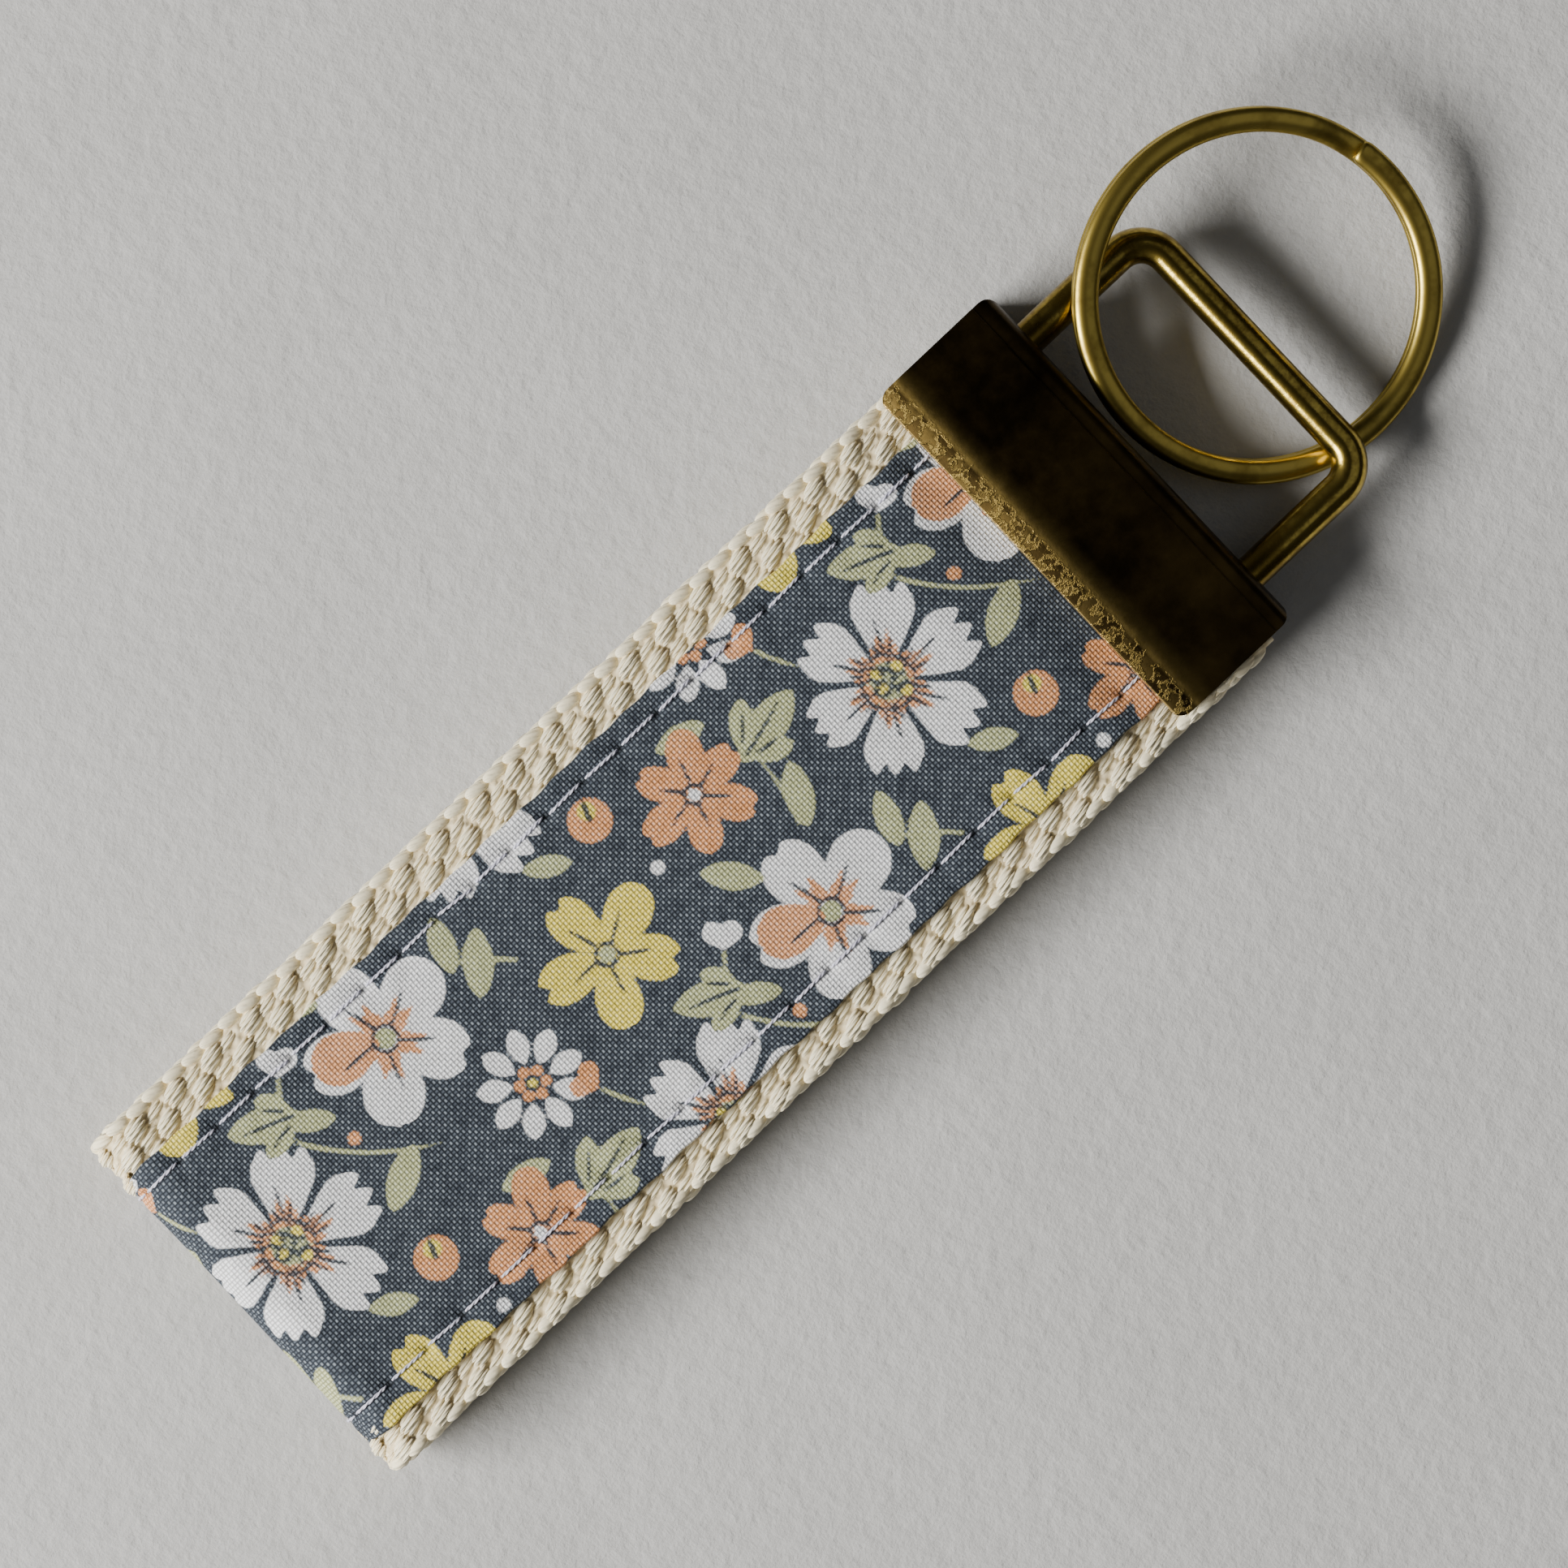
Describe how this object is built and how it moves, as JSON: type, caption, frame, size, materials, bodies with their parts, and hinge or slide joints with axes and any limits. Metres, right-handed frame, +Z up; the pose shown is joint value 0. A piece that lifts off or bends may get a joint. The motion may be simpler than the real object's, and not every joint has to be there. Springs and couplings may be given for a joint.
{
  "type": "key fob",
  "caption": "Short key fob: folded cotton webbing with a topstitched floral strip, held in a brass end clamp with a wire bail and a split key ring.",
  "frame": {"origin": "on the surface that the fob lies on, below the middle of its length and width", "axes": "+X along the strap from the folded end to the key ring, +Y across the strap, +Z up from the surface"},
  "size_m": [0.1153, 0.0321, 0.0075],
  "materials": {
    "webbing": "coarse cream cotton webbing",
    "printed_cotton": "plain-weave cotton, slate blue with a floral print",
    "thread": "white sewing thread",
    "aged_brass": "dark antique brass, worn bright at the lips",
    "brass_wire": "antique brass, semi-gloss"
  },
  "bodies": {
    "strap_and_clamp": {"webbing_strap": "webbing", "printed_strip": "printed_cotton", "needle_thread_left": "thread", "needle_thread_right": "thread", "bobbin_thread_left": "thread", "bobbin_thread_right": "thread", "end_clamp": "aged_brass", "wire_bail": "brass_wire"},
    "key_ring": {"split_ring": "brass_wire"}
  },
  "joints": [
    {"name": "ring_swing", "type": "hinge", "parent": "strap_and_clamp", "child": "key_ring", "pos_m": [0.0415, -0.0083, 0.0016], "axis": [0.9962, -0.0872, 0], "range_deg": [0, 90]}
  ]
}
